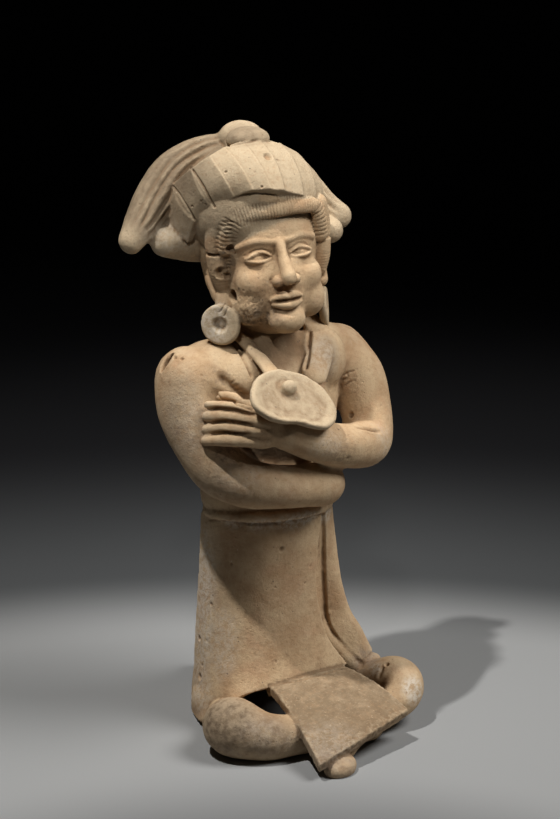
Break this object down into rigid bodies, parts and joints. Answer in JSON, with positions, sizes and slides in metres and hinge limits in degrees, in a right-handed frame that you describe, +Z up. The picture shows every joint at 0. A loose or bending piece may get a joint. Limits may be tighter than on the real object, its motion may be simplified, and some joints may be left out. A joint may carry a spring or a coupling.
{
  "type": "seated whistle figurine",
  "caption": "Hollow fired-clay figurine of a seated person with crossed legs and folded arms, disc pendant and plaque headdress, with a whistle at the back of its base.",
  "frame": {"origin": "middle of the bounding box's bottom face, at the level the figurine stands on", "axes": "+Z up, -Y the way the figurine's body faces, +X towards the figurine's own left"},
  "size_m": [0.0856, 0.101, 0.1904],
  "materials": {
    "fired_clay": "matte, unglazed"
  },
  "bodies": {
    "root": {"figurine": "fired_clay"}
  },
  "joints": []
}
